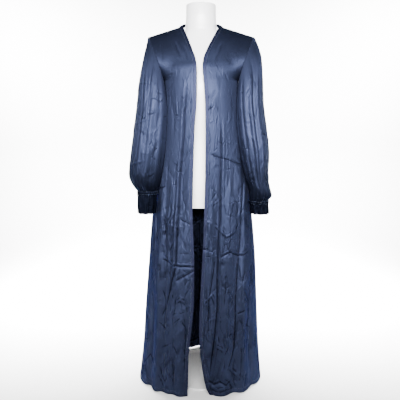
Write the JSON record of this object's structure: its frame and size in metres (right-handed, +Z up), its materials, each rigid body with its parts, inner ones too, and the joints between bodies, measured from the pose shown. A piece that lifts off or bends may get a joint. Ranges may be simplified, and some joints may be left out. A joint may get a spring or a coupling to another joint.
{
  "type": "dressing gown on a dress form",
  "caption": "Long open-front satin dressing gown with full gathered sleeves and ruffled wrists, worn by a limbless dress form on a slim post and round base.",
  "frame": {"origin": "on the floor, at the centre of the underside of the stand's base plate, under the form's neck", "axes": "+Z up, -Y to the front of the garment, +X to the wearer's left, which is the right of the picture"},
  "size_m": [0.5488, 0.4142, 1.485],
  "materials": {
    "satin": "slate-blue satin weave, soft directional sheen, creased from packing",
    "satin_band": "slate-blue satin, double layer, turned and stitched",
    "form_shell": "smooth off-white shell, soft gloss",
    "post_paint": "black, satin",
    "base_paint": "white, satin"
  },
  "bodies": {
    "root": {"front_right": "satin", "front_left": "satin", "back": "satin", "sleeve_right": "satin", "sleeve_left": "satin", "front_band_right": "satin_band", "front_band_left": "satin_band", "neck_band": "satin_band", "cuff_casing_right": "satin_band", "cuff_casing_left": "satin_band", "cuff_ruffle_right": "satin", "cuff_ruffle_left": "satin", "dress_form": "form_shell", "base_plate": "base_paint", "base_flange": "base_paint", "stand_post": "post_paint"}
  },
  "joints": []
}
